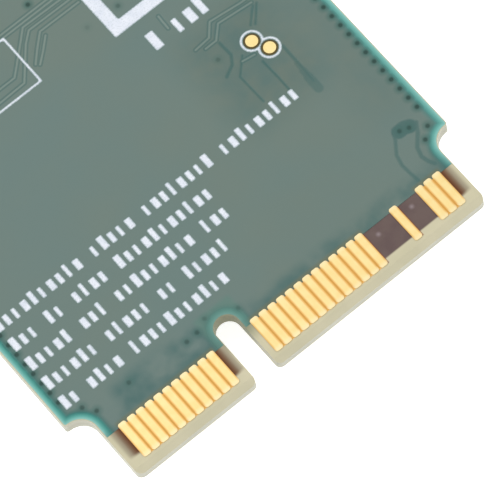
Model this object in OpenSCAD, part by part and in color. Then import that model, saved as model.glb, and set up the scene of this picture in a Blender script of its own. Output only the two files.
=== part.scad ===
// Laptop wifi card: a 22 x 30 mm plug-in radio module with a keyed edge of gold contacts.
// The print side faces up and the card lies on its shield lid. X runs along the contacts,
// Y runs from the finger edge to the screw notch, and z = 0 is the lid's outer face.

/* [Board] */
// Width of the board's body
board_w = 22; // [21.9:0.1:24]
// Length from the finger edge to the screw edge
board_l = 30; // [29:0.5:42]
// Thickness over both solder masks
board_t = 0.8; // [0.6:0.05:1.2]
// Thickness of each solder mask
mask_t = 0.03; // [0.02:0.005:0.04]
// Gap between the mask's edge and the board's edge
mask_pullback = 0.04; // [0.02:0.01:0.08]
// Width of the tongue that goes into the socket
tongue_w = 19.85; // [19.7:0.05:20]
// Distance from the finger edge to the shoulders
shoulder_y = 4; // [3.9:0.05:4.4]
// Radius of the hollow between tongue and shoulder
shoulder_fillet_r = 0.9; // [0.5:0.05:0.9]
// Radius of the shoulder's outer corner
shoulder_corner_r = 0.15; // [0.1:0.01:0.17]
// Radius of the two corners beside the screw notch
rear_corner_r = 0.5; // [0.2:0.1:1]
// Radius of the tongue's outer corners
tongue_corner_r = 0.35; // [0.2:0.05:0.5]
// Length of the bevel along the finger edge
bevel_l = 0.35; // [0.2:0.05:0.45]
// Depth of the bevel on each face
bevel_h = 0.15; // [0.1:0.01:0.2]

/* [Key notch] */
// Width of the key notch
key_w = 1.2; // [1:0.05:1.3]
// Depth of the key notch from the finger edge
key_depth = 3.5; // [3.3:0.05:3.7]
// Radius of the corners at the notch's mouth
key_mouth_r = 0.3; // [0.1:0.05:0.4]
// First contact number that the notch takes away
key_first = 24; // [24:1:24]
// Last contact number that the notch takes away
key_last = 31; // [31:1:31]

/* [Contacts] */
// Spacing between contacts on one side
contact_pitch = 0.5; // [0.49:0.005:0.5]
// Width of a contact
contact_w = 0.42; // [0.3:0.01:0.43]
// Height of a contact over the laminate
contact_t = 0.035; // [0.025:0.005:0.05]
// Distance from the finger edge to the contacts' tips
contact_start = 0.5; // [0.5:0.05:0.8]
// Radius of the contacts' corners
contact_corner_r = 0.12; // [0.05:0.01:0.12]
// Distance from the finger edge to the masks' edge
mask_start = 2.35; // [2.3:0.05:2.6]
// How far each contact's tip reaches into its own opening in the mask
contact_lap = 0.15; // [0.15:0.01:0.25]

/* [Screw notch] */
// Radius of the half-round screw notch
screw_r = 1.75; // [1.6:0.05:2]
// Outer radius of the plated land round it
screw_land_r = 2.75; // [2.5:0.05:3]
// Thickness of the plating in the notch
plating_t = 0.03; // [0.02:0.005:0.05]
// Gap between a plated land and the mask round it
land_gap = 0.06; // [0.04:0.01:0.1]

/* [Vias] */
// Radius of the dimple over a filled via
via_r = 0.13; // [0.1:0.01:0.16]
// Depth of the dimple
via_depth = 0.015; // [0.01:0.005:0.015]
// Spacing of the stitching vias along both side edges
via_pitch = 0.61; // [0.55:0.01:0.8]
// Distance from the board's side edge to the stitching vias
via_edge = 0.5; // [0.4:0.05:0.6]
// Distance from the finger edge to the first stitching via
via_start = 5.1; // [4.8:0.1:6]
// How much farther from the finger edge the right-hand column of vias starts
via_shift = 0.45; // [0:0.05:0.6]

/* [Test pads] */
// Radius of a test pad
test_pad_r = 0.3; // [0.25:0.01:0.33]
// Radius of the mask's opening round a test pad
test_opening_r = 0.4; // [0.36:0.01:0.4]
// Distance of the first pad from the card's middle line
test_pad_x = 6.99; // [6.5:0.01:7.5]
// Distance of the first pad from the screw edge
test_pad_rear = 16.86; // [16.5:0.01:17.2]
// Sideways step from the first pad to the second
test_step_x = 0.41; // [0.3:0.01:0.6]
// Lengthways step from the first pad to the second
test_step_y = -0.8; // [-0.9:0.01:-0.75]

/* [Print] */
// Thickness of the white print
print_t = 0.02; // [0.01:0.005:0.03]
// Outer radius of the printed rings round the test pads
ring_r = 0.55; // [0.54:0.01:0.6]
// Width of the rings' line
ring_line = 0.12; // [0.1:0.01:0.13]
// Side of the thick printed frame
frame_print_w = 7; // [6:0.1:8]
// Line width of the thick printed frame
frame_print_line = 0.7; // [0.4:0.05:1]
// Distance of the thick frame's near side from the card's middle line
frame_print_x = 2.44; // [2:0.01:3]
// Distance of the thick frame's near side from the screw edge
frame_print_rear = 12.55; // [12:0.05:13]
// Line width of the thin printed box
box_print_line = 0.15; // [0.1:0.01:0.2]
// Width of the thin printed box
box_print_w = 6; // [5:0.1:7]
// Length of the thin printed box
box_print_l = 3; // [2.5:0.1:3.5]
// Distance of the thin box's right side from the card's middle line
box_print_x = -1.37; // [-2:0.01:-1]
// Distance of the thin box's near side from the screw edge
box_print_rear = 12; // [11.5:0.1:12.5]
// Spacing of the blocks that stand for words
block_pitch = 0.5; // [0.45:0.01:0.52]
// Height of a tall block
block_h = 0.76; // [0.6:0.01:0.8]
// Spacing between two rows of blocks
row_pitch = 1.23; // [1.1:0.01:1.3]
// Distance from the finger edge to the lowest row's foot
row_start = 4.55; // [4.3:0.05:4.8]
// Distance of the rows' left end from the board's side edge
row_margin = 0.55; // [0.4:0.05:0.8]

/* [Shield] */
// Distance from the board's side edge to the shield frame
shield_side = 0.9; // [0.7:0.05:1.2]
// Length of the strip between shield frame and screw edge, where the antenna connectors are
antenna_strip = 7.3; // [6.5:0.1:8]
// Distance from the finger edge to the shield frame
shield_start = 4.7; // [4.6:0.05:5]
// Height of the lid's outer face over the component-side mask
shield_h = 1.5; // [1.4:0.05:2]
// Thickness of the frame's and the lid's sheet
sheet_t = 0.15; // [0.1:0.01:0.2]
// Gap between the frame's wall and the lid's skirt
lid_gap = 0.03; // [0.02:0.01:0.05]
// Outer bend radius along the lid's edges
lid_bend_r = 0.3; // [0.25:0.01:0.35]
// Gap between the lid's skirt and the board
skirt_lift = 0.2; // [0.1:0.05:0.3]
// Width of the slots that part the skirt into tongues
skirt_slot_w = 0.4; // [0.3:0.05:0.6]
// Width of the frame's flange
flange_w = 1; // [0.8:0.05:1.2]
// Corner radius of the frame
frame_corner_r = 0.5; // [0.4:0.05:0.6]
// Width of the bridge across the frame
bridge_w = 1.4; // [1:0.1:2]
// Radius of the pick-up disc at the bridge's middle
pickup_r = 2.2; // [1.8:0.1:3]
// Radius of the frame's locking holes
lock_hole_r = 0.3; // [0.28:0.01:0.35]
// Clearance between a lid dimple and its locking hole
lock_gap = 0.05; // [0.03:0.01:0.08]
// Spacing of the locking holes along a wall
lock_pitch = 4.5; // [4:0.1:5]
// Width of the tinned land under the frame
shield_land_w = 0.6; // [0.4:0.05:0.7]

/* [Chips] */
// Side of the wifi processor
processor_w = 8.6; // [7:0.1:9]
// Height of the wifi processor
processor_h = 0.9; // [0.7:0.05:1]
// Thickness of the processor's carrier
processor_carrier_t = 0.3; // [0.2:0.05:0.4]
// Distance from the shield frame's start to the processor's middle
processor_y = 8; // [7.8:0.1:8.4]
// Side of a front-end module
front_end_w = 3; // [2.4:0.1:3.4]
// Height of a front-end module
front_end_h = 0.6; // [0.5:0.05:0.8]
// Length of the reference crystal
crystal_l = 2; // [1.6:0.1:2.2]
// Width of the reference crystal
crystal_w = 1.6; // [1.2:0.1:1.8]
// Height of the reference crystal
crystal_h = 0.5; // [0.4:0.05:0.6]
// Length of a power inductor
inductor_l = 2; // [1.6:0.1:2.1]
// Width of a power inductor
inductor_w = 1.6; // [1.2:0.1:1.8]
// Height of a power inductor
inductor_h = 0.95; // [0.6:0.05:1]
// Length of an antenna filter
filter_l = 1.6; // [1.4:0.1:1.8]
// Width of an antenna filter
filter_w = 0.8; // [0.7:0.05:1]
// Height of an antenna filter
filter_h = 0.6; // [0.4:0.05:0.7]

/* [Small parts] */
// Length of a small chip part
small_l = 0.6; // [0.5:0.05:0.65]
// Width of a small chip part
small_w = 0.3; // [0.25:0.01:0.35]
// Height of a small chip part
small_h = 0.3; // [0.2:0.01:0.35]
// Length of a bulk capacitor
bulk_l = 1; // [0.9:0.05:1.1]
// Width of a bulk capacitor
bulk_w = 0.5; // [0.4:0.05:0.55]
// Height of a bulk capacitor
bulk_h = 0.5; // [0.4:0.05:0.6]
// Gap between neighbouring parts
part_gap = 0.5; // [0.4:0.05:0.55]
// Gap between an antenna connector's foot and the coils before it
match_gap = 1.1; // [0.9:0.05:1.3]

/* [Antenna connectors] */
// Distance of each connector from the board's side edge
antenna_side = 2.7; // [2.2:0.1:3.4]
// Distance of the connectors from the screw edge
antenna_edge = 2.9; // [2.4:0.1:3.2]
// Side of the connector's insulating base
antenna_base_w = 1.9; // [1.8:0.05:2.1]
// Height of the insulating base
antenna_base_h = 0.22; // [0.2:0.01:0.26]
// Outer radius of the contact ring
antenna_ring_r = 0.75; // [0.72:0.01:0.8]
// Wall of the contact ring
antenna_ring_wall = 0.12; // [0.08:0.01:0.15]
// Height of the contact ring's top over the mask
antenna_ring_h = 0.62; // [0.55:0.01:0.7]
// Thickness of the connector's metal
antenna_sheet_t = 0.08; // [0.06:0.01:0.1]
// Radius of the signal pin
antenna_pin_r = 0.15; // [0.12:0.01:0.18]
// Height of the signal pin's tip over the mask
antenna_pin_h = 0.52; // [0.45:0.01:0.55]
// Length of the feet that are soldered to the board
antenna_foot = 0.28; // [0.2:0.01:0.35]

/* [Hidden] */

$fn = 48;
cut = 0.5;
sides = [-1, 1];

// Levels, from the lid's outer face up
laminate_t = board_t - 2 * mask_t;
laminate_low = shield_h + mask_t;
laminate_high = laminate_low + laminate_t;
finger_y = -board_l / 2;

// Distances from the finger edge of what is placed from the screw edge
shield_far = board_l - antenna_strip;
shield_l = shield_far - shield_start;
shield_w = board_w - 2 * shield_side;
frame_print_y = board_l - frame_print_rear;
box_print_y = board_l - box_print_rear;
test_pad_y = board_l - test_pad_rear;

// Board
shoulder_w = (board_w - tongue_w) / 2;
shoulder_fillet = min(shoulder_fillet_r, shoulder_w - shoulder_corner_r);
middle_pin = 38;
last_pin = 75;
key_x = pin_x((key_first + key_last) / 2);
screw_opening_r = screw_land_r + land_gap;

// Contacts that these cards leave out, beside those that the key notch takes away
print_side_absent = [58, 60, 62, 66, 68];
component_side_absent = [59, 61, 65, 67, 71, 73];

// Vias
via_x = board_w / 2 - via_edge;
via_count = floor((board_l - via_start - via_shift - via_edge) / via_pitch);
shoulder_vias = [[10.26, 4.5], [9.75, 4.05], [9.15, 5.15], [-9.85, 4.2], [-9.45, 3.65], [-7.55, 3.75]];
key_vias = [[-1.78, 0.05], [-1.16, 0.1], [-0.5, 0.4], [0.95, -0.2]];
rear_vias = [[0.47, 8.46], [1.8, 11.23], [3.53, 11.32], [5.26, 16.56]];

// Word blocks: how many blocks each word of a row has
row_words = [[2, 4, 11], [6, 5, 2, 5], [5, 3, 9, 3], [3, 2, 4, 11], [10, 5, 8, 9]];
block_margin = 0.14;
frame_note_words = [1, 3];
frame_note_scale = 1.35;
frame_note_gap = 1.8;
frame_note_x = 3.45;

// Shield
frame_h = shield_h - sheet_t;
frame_bend_r = lid_bend_r - sheet_t;
shield_mid = shield_start + shield_l / 2;
lid_reach = lid_gap + sheet_t;
lock_h = frame_h / 2;
land_outside = 0.15;
corner_gap = 0.45;
feed_hole_w = 1.1;
feed_hole_h = 0.35;

// Chips
processor_mid = shield_start + processor_y;
processor_near = processor_mid - processor_w / 2;
processor_side = processor_w / 2;
inner_side = shield_w / 2 - sheet_t;
filter_x = inner_side - part_gap - filter_l / 2;
filter_y = shield_far - sheet_t - part_gap - filter_w / 2;
front_end_x = inner_side - part_gap - front_end_w / 2;
front_end_y = filter_y - filter_w / 2 - part_gap - front_end_w / 2;
crystal_x = -processor_side - 2 * part_gap - small_l - crystal_l / 2;
crystal_y = processor_near + crystal_w / 2;
inductor_x = processor_side + 2 * part_gap + small_l + inductor_l / 2;
inductor_y = shield_start + sheet_t + part_gap + inductor_w / 2;
inductor_step = inductor_w + part_gap;
bulk_y = processor_near - part_gap - small_l - part_gap - bulk_w / 2;
bulk_step = bulk_l + part_gap;
small_step = small_w + part_gap;
beside_count = floor(processor_w / small_step / 2);
small_y = processor_near - part_gap - small_l / 2;
resistor_y = crystal_y - crystal_w / 2 - part_gap - small_l / 2;

// Antenna connectors
antenna_x = board_w / 2 - antenna_side;
antenna_y = board_l - antenna_edge;
match_y = antenna_y - antenna_base_w / 2 - antenna_foot - match_gap - small_l / 2;

function pin_x(pin) = (pin - middle_pin) * contact_pitch / 2;
function has_pin(pin, absent) = (pin < key_first || pin > key_last) && len([for (a = absent) if (a == pin) a]) == 0;
function block_w(i) = block_pitch - block_margin - 0.06 * ((i * 7) % 3);
function block_top(i) = (i * 5) % 4 == 0 ? 1 : 0.8;
function sum_to(list, n) = n == 0 ? 0 : list[n - 1] + sum_to(list, n - 1);

module on_print_side(height = 0) {
    translate([0, finger_y, laminate_high + height])
        children();
}

module on_component_side(height = 0) {
    translate([0, finger_y, laminate_low - height])
        mirror([0, 0, 1])
            children();
}

// Parts soldered to the component side stand on the mask's face
module on_component_mask() {
    on_component_side(mask_t)
        children();
}

// A rectangle with round corners, centred on the origin
module round_rect(w, l, r) {
    square([w - 2 * r, l], center = true);
    square([w, l - 2 * r], center = true);
    for (x = sides, y = sides)
        translate([x * (w / 2 - r), y * (l / 2 - r)])
            circle(r);
}

// What rounding takes off a corner at the origin, whose material lies towards +X and +Y
module corner_waste(r) {
    difference() {
        translate([-cut, -cut])
            square(r + cut);
        translate([r, r])
            circle(r);
    }
}

// The hollow fillet at the origin, with material above it and on its left
module hollow_fillet(r) {
    difference() {
        translate([-cut, -r])
            square([r + cut, r + cut]);
        translate([r, -r])
            circle(r);
    }
}

module board_outline(inset = 0) {
    half_w = board_w / 2 - inset;
    half_tongue = tongue_w / 2 - inset;
    key_half = key_w / 2 + inset;
    difference() {
        union() {
            translate([-half_w, shoulder_y + inset])
                square([2 * half_w, board_l - shoulder_y - 2 * inset]);
            translate([-half_tongue, inset])
                square([2 * half_tongue, shoulder_y + cut]);
            for (side = sides)
                scale_x(side)
                    translate([half_tongue, shoulder_y + inset])
                        hollow_fillet(shoulder_fillet + inset);
        }
        for (side = sides)
            scale_x(side) {
                translate([half_w, shoulder_y + inset])
                    mirror([1, 0])
                        corner_waste(shoulder_corner_r - inset);
                translate([half_w, board_l - inset])
                    mirror([1, 0])
                        mirror([0, 1])
                            corner_waste(rear_corner_r - inset);
                translate([half_tongue, inset])
                    mirror([1, 0])
                        corner_waste(tongue_corner_r);
            }
        translate([key_x, 0]) {
            translate([-key_half, -cut])
                square([2 * key_half, key_depth - key_w / 2 + cut]);
            translate([0, key_depth - key_w / 2])
                circle(key_half);
            for (side = sides)
                scale_x(side)
                    translate([key_half, inset])
                        corner_waste(key_mouth_r);
        }
        translate([0, board_l])
            circle(screw_r + plating_t);
    }
}

// Mirrors its children when side is -1
module scale_x(side) {
    mirror([side < 0 ? 1 : 0, 0])
        children();
}

// The board seen from its side edge, with the bevel along the finger edge
module board_profile() {
    polygon([[0, bevel_h], [bevel_l, 0], [board_l, 0],
             [board_l, laminate_t], [bevel_l, laminate_t], [0, laminate_t - bevel_h]]);
}

module circuit_board() {
    color("wheat")
        translate([0, finger_y, laminate_low])
            intersection() {
                linear_extrude(laminate_t)
                    board_outline();
                translate([-board_w / 2, 0, 0])
                    rotate([90, 0, 90])
                        linear_extrude(board_w)
                            board_profile();
            }
}

module masked_outline(first_pin, absent) {
    difference() {
        board_outline(mask_pullback);
        contact_plan(first_pin, absent);
        translate([-board_w, -cut])
            square([2 * board_w, mask_start + cut]);
        translate([0, board_l])
            circle(screw_opening_r);
    }
}

module via_places() {
    for (side = sides, i = [0 : via_count])
        translate([side * via_x, via_start + max(side, 0) * via_shift + i * via_pitch])
            children();
    for (place = shoulder_vias)
        translate(place)
            children();
    for (place = rear_vias)
        translate([place[0], board_l - place[1]])
            children();
    for (place = key_vias)
        translate([key_x + place[0], key_depth + place[1]])
            children();
}

module test_pad_places() {
    for (i = [0, 1])
        translate([test_pad_x + i * test_step_x, test_pad_y + i * test_step_y])
            children();
}

module print_side_mask() {
    color("cadetblue")
        on_print_side()
            difference() {
                linear_extrude(mask_t)
                    difference() {
                        masked_outline(2, print_side_absent);
                        test_pad_places()
                            circle(test_opening_r);
                    }
                translate([0, 0, mask_t - via_depth])
                    linear_extrude(cut)
                        via_places()
                            circle(via_r);
            }
}

module shield_land_outline(gap = 0) {
    translate([0, shield_mid])
        difference() {
            round_rect(shield_w + 2 * (land_outside + gap), shield_l + 2 * (land_outside + gap),
                       frame_corner_r + land_outside + gap);
            square([shield_w + 2 * (land_outside - shield_land_w - gap),
                    shield_l + 2 * (land_outside - shield_land_w - gap)], center = true);
        }
}

module component_side_mask() {
    color("cadetblue")
        on_component_side()
            linear_extrude(mask_t)
                difference() {
                    masked_outline(1, component_side_absent);
                    shield_land_outline();
                }
}

// One side's row of contacts
module contact_plan(first_pin, absent) {
    contact_l = mask_start + contact_lap - contact_start;
    for (pin = [first_pin : 2 : last_pin])
        if (has_pin(pin, absent))
            translate([pin_x(pin), contact_start + contact_l / 2])
                round_rect(contact_w, contact_l, contact_corner_r);
}

module print_side_contacts() {
    color("gold")
        on_print_side()
            linear_extrude(contact_t)
                contact_plan(2, print_side_absent);
}

module component_side_contacts() {
    color("gold")
        on_component_side()
            linear_extrude(contact_t)
                contact_plan(1, component_side_absent);
}

module half_ring(outer, inner) {
    difference() {
        circle(outer);
        circle(inner);
        translate([-outer - cut, 0])
            square([2 * (outer + cut), outer + cut]);
    }
}

module mounting_land() {
    color("gold")
        translate([0, board_l + finger_y, 0]) {
            translate([0, 0, laminate_low - contact_t])
                linear_extrude(laminate_t + 2 * contact_t)
                    half_ring(screw_r + plating_t, screw_r);
            for (level = [laminate_low - contact_t, laminate_high])
                translate([0, 0, level])
                    linear_extrude(contact_t)
                        half_ring(screw_land_r, screw_r);
        }
}

module test_pads() {
    color("gold")
        on_print_side()
            linear_extrude(contact_t)
                test_pad_places()
                    circle(test_pad_r);
}

module print_box(w, l, line) {
    difference() {
        square([w, l]);
        translate([line, line])
            square([w - 2 * line, l - 2 * line]);
    }
}

// One row of plain blocks, in groups with a blank between them
module block_row(words) {
    for (word = [0 : len(words) - 1])
        for (i = [0 : words[word] - 1]) {
            place = sum_to(words, word) + word + i;
            translate([place * block_pitch, 0])
                square([block_w(place), block_h * block_top(place)]);
        }
}

module silkscreen_print() {
    color("white")
        on_print_side(mask_t)
            linear_extrude(print_t) {
                translate([frame_print_x, frame_print_y])
                    print_box(frame_print_w, frame_print_w, frame_print_line);
                translate([box_print_x - box_print_w, box_print_y])
                    print_box(box_print_w, box_print_l, box_print_line);
                for (row = [0 : len(row_words) - 1])
                    translate([row_margin - board_w / 2, row_start + row * row_pitch])
                        block_row(row_words[row]);
                translate([frame_note_x, frame_print_y - frame_note_gap])
                    scale(frame_note_scale)
                        block_row(frame_note_words);
                difference() {
                    test_pad_places()
                        circle(ring_r);
                    test_pad_places()
                        circle(ring_r - ring_line);
                }
            }
}

module shield_land() {
    color("silver")
        on_component_side()
            linear_extrude(mask_t)
                shield_land_outline();
}

// The frame's outline, less a margin all round
module frame_outline(margin) {
    round_rect(shield_w - 2 * margin, shield_l - 2 * margin, max(frame_corner_r - margin, 0.05));
}

// The frame's size along a wall, and across to the opposite one, for a wall at this turn
function wall_l(turn) = turn % 180 == 0 ? shield_w : shield_l;
function wall_reach(turn) = (turn % 180 == 0 ? shield_l : shield_w) / 2;
function lock_count(turn) = floor(wall_l(turn) / lock_pitch);

// Places along the four walls, with +Y pointing out of the wall
module lock_places() {
    for (turn = [0, 90, 180, 270])
        rotate(turn)
            for (i = [0 : lock_count(turn) - 1])
                translate([(i - (lock_count(turn) - 1) / 2) * lock_pitch, wall_reach(turn)])
                    children();
}

// A wall section of the frame's blank: its top edges have the sheet's bend
module bent_top(w) {
    translate([-w / 2, 0])
        square([w, frame_h - frame_bend_r]);
    translate([frame_bend_r - w / 2, 0])
        square([w - 2 * frame_bend_r, frame_h]);
    for (side = sides)
        translate([side * (w / 2 - frame_bend_r), frame_h - frame_bend_r])
            circle(frame_bend_r);
}

module frame_blank() {
    intersection() {
        linear_extrude(frame_h)
            frame_outline(0);
        rotate([90, 0, 90])
            linear_extrude(shield_w, center = true)
                bent_top(shield_l);
        rotate([90, 0, 0])
            linear_extrude(shield_l, center = true)
                bent_top(shield_w);
    }
}

// The open window in the frame's top, on both sides of the bridge
module frame_window() {
    difference() {
        frame_outline(flange_w);
        square([shield_w, bridge_w], center = true);
        circle(pickup_r);
    }
}

module shield_frame() {
    color("silver")
        on_component_mask()
            translate([0, shield_mid, 0])
                difference() {
                    frame_blank();
                    translate([0, 0, -cut])
                        linear_extrude(frame_h - sheet_t + cut)
                            frame_outline(sheet_t);
                    linear_extrude(frame_h + cut)
                        frame_window();
                    lock_holes();
                    for (side = sides)
                        translate([side * filter_x, shield_l / 2, 0])
                            cube([feed_hole_w, 4 * sheet_t, 2 * feed_hole_h], center = true);
                }
}

module lock_holes() {
    lock_places()
        translate([0, cut, lock_h])
            rotate([90, 0, 0])
                cylinder(h = 2 * cut, r = lock_hole_r);
}

// Section of one folded edge of the lid: the bend and the skirt below it
module lid_edge_profile() {
    difference() {
        translate([0, shield_h - lid_bend_r])
            circle(lid_bend_r);
        translate([0, shield_h - lid_bend_r])
            circle(lid_bend_r - sheet_t);
        translate([-2 * lid_bend_r, 0])
            square([2 * lid_bend_r, 2 * shield_h]);
        translate([-cut, 0])
            square([2 * lid_bend_r + cut, shield_h - lid_bend_r]);
    }
    translate([lid_bend_r - sheet_t, skirt_lift])
        square([sheet_t, shield_h - lid_bend_r - skirt_lift]);
}

// The folded edge of the lid over the wall at this turn, with slots between its tongues
module lid_edge(turn) {
    length = wall_l(turn) + 2 * lid_reach - 2 * lid_bend_r - 2 * corner_gap;
    fold = wall_reach(turn) + lid_reach - lid_bend_r;
    slots = lock_count(turn) - 1;
    rotate(turn)
        difference() {
            translate([-length / 2, fold, 0])
                rotate([90, 0, 90])
                    linear_extrude(length)
                        lid_edge_profile();
            for (i = [0 : slots - 1])
                translate([(i - (slots - 1) / 2) * lock_pitch - skirt_slot_w / 2, fold - cut, -cut])
                    cube([skirt_slot_w, 2 * lid_bend_r + cut, shield_h - lid_bend_r - sheet_t + cut]);
        }
}

module shield_lid() {
    color("lightgray")
        on_component_mask()
            translate([0, shield_mid, 0]) {
                translate([0, 0, frame_h])
                    linear_extrude(sheet_t)
                        square([shield_w + 2 * (lid_reach - lid_bend_r),
                                shield_l + 2 * (lid_reach - lid_bend_r)], center = true);
                for (turn = [0, 90, 180, 270])
                    lid_edge(turn);
                lock_places()
                    translate([0, lid_reach - sheet_t / 2, lock_h])
                        rotate([90, 0, 0])
                            cylinder(h = lid_reach, r = lock_hole_r - lock_gap);
            }
}

// A moulded chip on its carrier
module chip_package(w, l, h, carrier_t, step) {
    linear_extrude(carrier_t)
        square([w, l], center = true);
    translate([0, 0, carrier_t])
        linear_extrude(h - carrier_t)
            square([w - 2 * step, l - 2 * step], center = true);
}

module wifi_processor() {
    color("dimgray")
        on_component_mask()
            translate([0, processor_mid, 0])
                chip_package(processor_w, processor_w, processor_h, processor_carrier_t, 0.2);
}

module front_end(side) {
    translate([side * front_end_x, front_end_y, 0])
        chip_package(front_end_w, front_end_w, front_end_h, 0.15, 0.05);
}

module front_end_main() {
    color("dimgray")
        on_component_mask()
            front_end(1);
}

module front_end_aux() {
    color("dimgray")
        on_component_mask()
            front_end(-1);
}

// A ceramic or wound part with a metal cap at each end, along X
module capped_part(l, w, h, cap = 0.15, proud = 0.015) {
    translate([-l / 2 + cap / 2, -w / 2 + proud, 0])
        cube([l - cap, w - 2 * proud, h - proud]);
    for (side = sides)
        translate([side * (l - cap) / 2 - cap / 2, -w / 2, 0])
            cube([cap, w, h]);
}

module rf_filter(side) {
    translate([side * filter_x, filter_y, 0])
        capped_part(filter_l, filter_w, filter_h, 0.3);
}

module rf_filter_main() {
    color("ivory")
        on_component_mask()
            rf_filter(1);
}

module rf_filter_aux() {
    color("ivory")
        on_component_mask()
            rf_filter(-1);
}

module reference_crystal() {
    color("silver")
        on_component_mask()
            translate([crystal_x, crystal_y, 0])
                chip_package(crystal_l, crystal_w, crystal_h, crystal_h / 2, 0.12);
}

module power_inductors() {
    color("darkslategray")
        on_component_mask()
            for (i = [0 : 2])
                translate([inductor_x, inductor_y + i * inductor_step, 0])
                    capped_part(inductor_l, inductor_w, inductor_h, 0.4, 0.05);
}

module bulk_capacitors() {
    color("tan")
        on_component_mask()
            for (i = [-2 : 2])
                translate([i * bulk_step, bulk_y, 0])
                    capped_part(bulk_l, bulk_w, bulk_h, 0.22);
}

module decoupling_capacitors() {
    color("tan")
        on_component_mask() {
            for (side = sides, i = [-beside_count + 1 : beside_count - 1])
                translate([side * (processor_side + part_gap + small_l / 2), processor_mid + i * small_step, 0])
                    capped_part(small_l, small_w, small_h);
            for (i = [-beside_count + 1 : beside_count - 1])
                translate([i * small_step, small_y, 0])
                    rotate(90)
                        capped_part(small_l, small_w, small_h);
        }
}

module resistors() {
    color("black")
        on_component_mask()
            for (i = [-2 : 2], row = [0, 1])
                translate([crystal_x + i * small_step, resistor_y - row * (small_l + part_gap), 0])
                    rotate(90)
                        capped_part(small_l, small_w, small_h * 0.8);
}

module matching_inductors() {
    color("steelblue")
        on_component_mask()
            for (side = sides, step = [0, 1])
                translate([side * (antenna_x - step * small_step), match_y, 0])
                    rotate(90)
                        capped_part(small_l, small_w, small_h);
}

// Antenna connector, with its signal foot towards the shield
module at_antenna(side) {
    on_component_mask()
        translate([side * antenna_x, antenna_y, 0])
            children();
}

module antenna_pin() {
    cylinder(h = antenna_pin_h, r = antenna_pin_r);
    translate([-antenna_pin_r, -antenna_base_w / 2 - antenna_foot, 0])
        cube([2 * antenna_pin_r, antenna_base_w / 2 + antenna_foot, antenna_sheet_t]);
}

module antenna_housing() {
    difference() {
        linear_extrude(antenna_base_h)
            round_rect(antenna_base_w, antenna_base_w, 0.1);
        antenna_pin();
    }
}

module antenna_shell() {
    half = antenna_base_w / 2;
    top = antenna_base_h + antenna_sheet_t;
    leg_l = antenna_base_w * 0.6;
    inner_r = antenna_ring_r - antenna_ring_wall;
    difference() {
        union() {
            translate([0, 0, antenna_base_h])
                cylinder(h = antenna_ring_h - antenna_base_h, r = antenna_ring_r);
            translate([-half - antenna_sheet_t, -leg_l / 2, antenna_base_h])
                cube([2 * (half + antenna_sheet_t), leg_l, antenna_sheet_t]);
        }
        translate([0, 0, antenna_base_h - cut])
            cylinder(h = antenna_ring_h + 2 * cut, r = inner_r);
    }
    for (side = sides)
        scale_x(side) {
            translate([half, -leg_l / 2, 0])
                cube([antenna_sheet_t, leg_l, top]);
            translate([half, -leg_l / 2, 0])
                cube([antenna_foot, leg_l, antenna_sheet_t]);
        }
}

module antenna_main_housing() {
    color("ivory")
        at_antenna(1)
            antenna_housing();
}

module antenna_main_shell() {
    color("gold")
        at_antenna(1)
            antenna_shell();
}

module antenna_main_pin() {
    color("gold")
        at_antenna(1)
            antenna_pin();
}

module antenna_aux_housing() {
    color("ivory")
        at_antenna(-1)
            antenna_housing();
}

module antenna_aux_shell() {
    color("gold")
        at_antenna(-1)
            antenna_shell();
}

module antenna_aux_pin() {
    color("gold")
        at_antenna(-1)
            antenna_pin();
}

circuit_board();
print_side_mask();
component_side_mask();
print_side_contacts();
component_side_contacts();
mounting_land();
test_pads();
silkscreen_print();
shield_land();
shield_frame();
shield_lid();
wifi_processor();
front_end_main();
front_end_aux();
rf_filter_main();
rf_filter_aux();
reference_crystal();
power_inductors();
bulk_capacitors();
decoupling_capacitors();
resistors();
matching_inductors();
antenna_main_housing();
antenna_main_shell();
antenna_main_pin();
antenna_aux_housing();
antenna_aux_shell();
antenna_aux_pin();
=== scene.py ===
# %% [markdown]
# # A laptop wifi card, seen from its print side
# The card is a small green board that plugs into a laptop with its row of gold fingers. Almost everything
# on it is flat: a film of paint over copper, gold plating, and white print. The CAD model already has the
# right sizes, so this lesson is about the last hundredth of a millimetre: the step where the copper under
# the paint ends, the dimple over each via, the soft edge of the print, and the finish of each metal.

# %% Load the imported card
import math

import bmesh
import bpy
import numpy as np
from mathutils import Matrix, Vector
from mathutils.geometry import delaunay_2d_cdt


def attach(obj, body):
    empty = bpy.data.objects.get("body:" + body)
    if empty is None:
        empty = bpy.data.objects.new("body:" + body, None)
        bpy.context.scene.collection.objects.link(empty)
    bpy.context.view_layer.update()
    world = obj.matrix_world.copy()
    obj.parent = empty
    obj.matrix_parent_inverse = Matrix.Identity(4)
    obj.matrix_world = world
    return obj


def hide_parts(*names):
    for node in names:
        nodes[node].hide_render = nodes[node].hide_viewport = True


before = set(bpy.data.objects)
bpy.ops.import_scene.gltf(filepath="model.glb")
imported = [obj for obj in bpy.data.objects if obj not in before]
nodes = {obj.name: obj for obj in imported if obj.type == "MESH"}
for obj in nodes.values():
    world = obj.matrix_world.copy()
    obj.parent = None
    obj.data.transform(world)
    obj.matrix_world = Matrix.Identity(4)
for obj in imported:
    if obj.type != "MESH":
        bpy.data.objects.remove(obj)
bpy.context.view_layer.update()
print("packed pieces:", len(nodes))

# %% [markdown]
# ## The card's main sizes
# The sizes are in millimetres, as on a drawing of the card, with x along the finger row and y going away
# from the finger edge. Meshes are in metres, and the frame's origin is in the middle of the board, so one
# small function turns the drawing's places into the frame's.

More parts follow.
